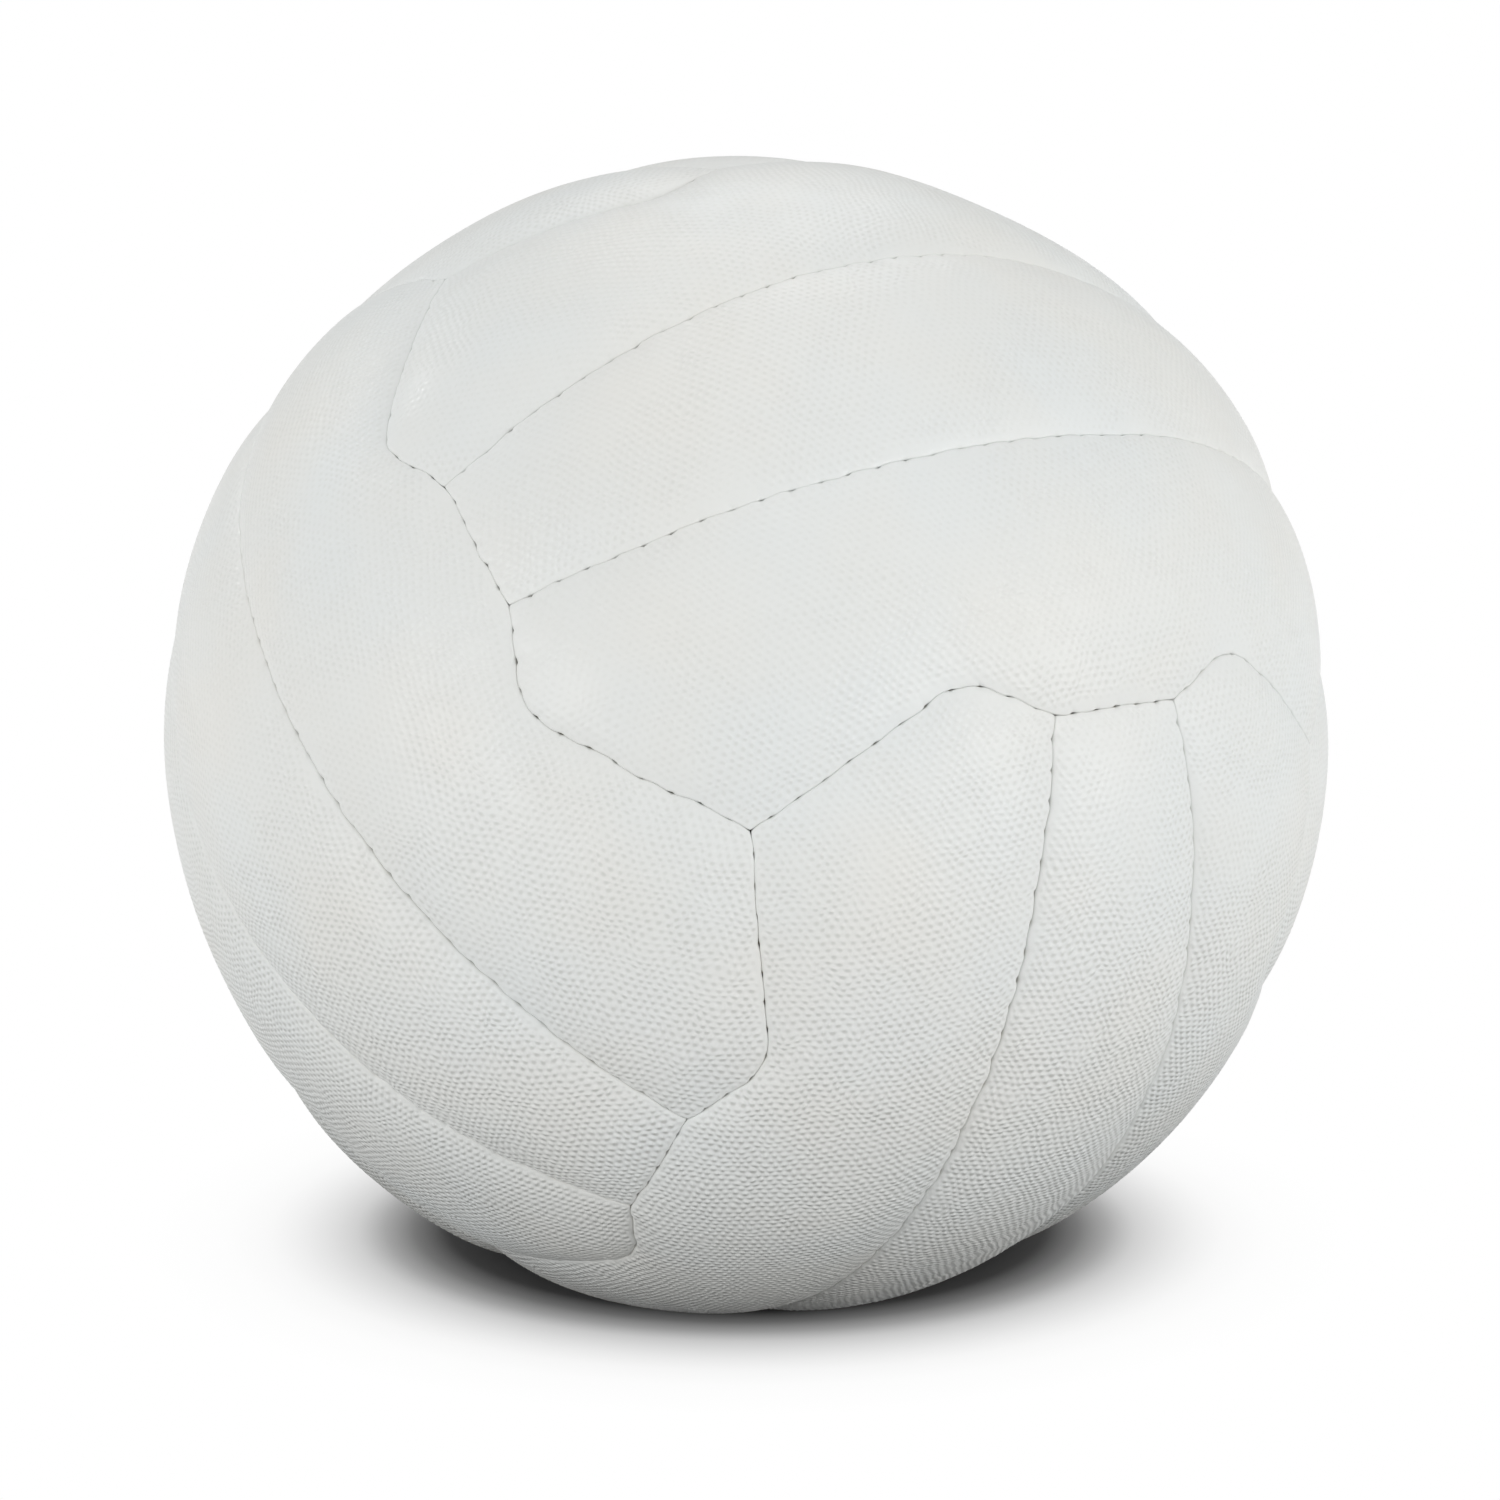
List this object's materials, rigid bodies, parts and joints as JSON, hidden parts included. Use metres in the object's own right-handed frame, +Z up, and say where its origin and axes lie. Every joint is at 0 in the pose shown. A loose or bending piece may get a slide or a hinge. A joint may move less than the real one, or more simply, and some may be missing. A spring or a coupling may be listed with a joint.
{
  "type": "netball",
  "caption": "White hand-stitched ball with textured rubber panels in strips of three, cloth linings, sewn seams, bladder and needle valve.",
  "frame": {"origin": "centre of the ball", "axes": "+Z up, as the ball lies in the picture, and -Y towards the camera"},
  "size_m": [0.2236, 0.2224, 0.223],
  "materials": {
    "cover": "matt, fine raised pimples",
    "lining": "woven cloth, glued",
    "thread": "waxed twisted thread",
    "bladder": "smooth, satin",
    "patch": "matt",
    "valve": "moulded, satin",
    "valve_plug": "moulded, matt"
  },
  "bodies": {
    "root": {"top_middle_panel": "cover", "bottom_middle_panel": "cover", "left_middle_panel": "cover", "right_middle_panel": "cover", "front_middle_panel": "cover", "back_middle_panel": "cover", "top_outer_panel_a": "cover", "bottom_outer_panel_a": "cover", "left_outer_panel_a": "cover", "right_outer_panel_a": "cover", "front_outer_panel_a": "cover", "back_outer_panel_a": "cover", "top_outer_panel_b": "cover", "bottom_outer_panel_b": "cover", "left_outer_panel_b": "cover", "right_outer_panel_b": "cover", "front_outer_panel_b": "cover", "back_outer_panel_b": "cover", "top_middle_lining": "lining", "bottom_middle_lining": "lining", "left_middle_lining": "lining", "right_middle_lining": "lining", "front_middle_lining": "lining", "back_middle_lining": "lining", "top_outer_lining_a": "lining", "bottom_outer_lining_a": "lining", "left_outer_lining_a": "lining", "right_outer_lining_a": "lining", "front_outer_lining_a": "lining", "back_outer_lining_a": "lining", "top_outer_lining_b": "lining", "bottom_outer_lining_b": "lining", "left_outer_lining_b": "lining", "right_outer_lining_b": "lining", "front_outer_lining_b": "lining", "back_outer_lining_b": "lining", "top_strip_thread": "thread", "bottom_strip_thread": "thread", "left_strip_thread": "thread", "right_strip_thread": "thread", "front_strip_thread": "thread", "back_strip_thread": "thread", "top_left_thread": "thread", "top_right_thread": "thread", "bottom_left_thread": "thread", "bottom_right_thread": "thread", "left_front_thread": "thread", "left_back_thread": "thread", "right_front_thread": "thread", "right_back_thread": "thread", "front_top_thread": "thread", "front_bottom_thread": "thread", "back_top_thread": "thread", "back_bottom_thread": "thread", "bladder": "bladder", "valve_patch": "patch", "valve_stem": "valve", "valve_plug": "valve_plug"}
  },
  "joints": []
}
